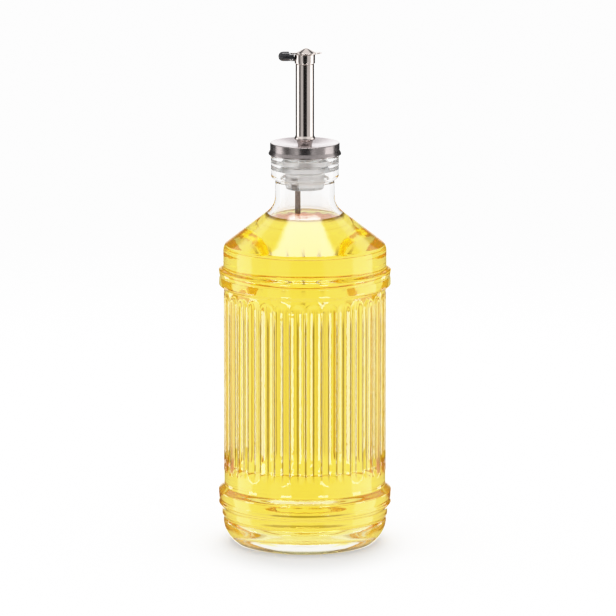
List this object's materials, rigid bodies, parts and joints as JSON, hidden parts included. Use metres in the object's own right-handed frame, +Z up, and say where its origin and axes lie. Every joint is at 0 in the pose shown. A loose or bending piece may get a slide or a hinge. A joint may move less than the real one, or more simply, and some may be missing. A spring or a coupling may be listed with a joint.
{
  "type": "oil bottle with pourer",
  "caption": "Fluted clear glass table bottle of yellow oil, with a dished steel cap, an upright pouring spout and a hinged flap lid on its tip.",
  "frame": {"origin": "centre of the bottle's foot, on the surface it stands on", "axes": "+Z up along the bottle's axis, -X towards the flap's lever, -Y towards the viewer"},
  "size_m": [0.0802, 0.0802, 0.2319],
  "materials": {
    "clear_glass": "polished, colourless",
    "yellow_oil": "clear golden yellow liquid",
    "clear_plastic": "milky, translucent",
    "cap_steel": "satin",
    "spout_steel": "polished",
    "black_plastic": "gloss"
  },
  "bodies": {
    "bottle_body": {"bottle": "clear_glass", "oil": "yellow_oil", "stopper": "clear_plastic", "cap": "cap_steel", "spout_tube": "spout_steel", "air_tube": "spout_steel", "spout_sleeve": "spout_steel", "hinge_pin": "spout_steel"},
    "flap": {"flap_lid": "spout_steel", "flap_lever": "black_plastic"}
  },
  "joints": [
    {"name": "flap_hinge", "type": "hinge", "parent": "bottle_body", "child": "flap", "pos_m": [-0.0062, 0, 0.227], "axis": [0, -1, 0], "range_deg": [0, 90]}
  ]
}
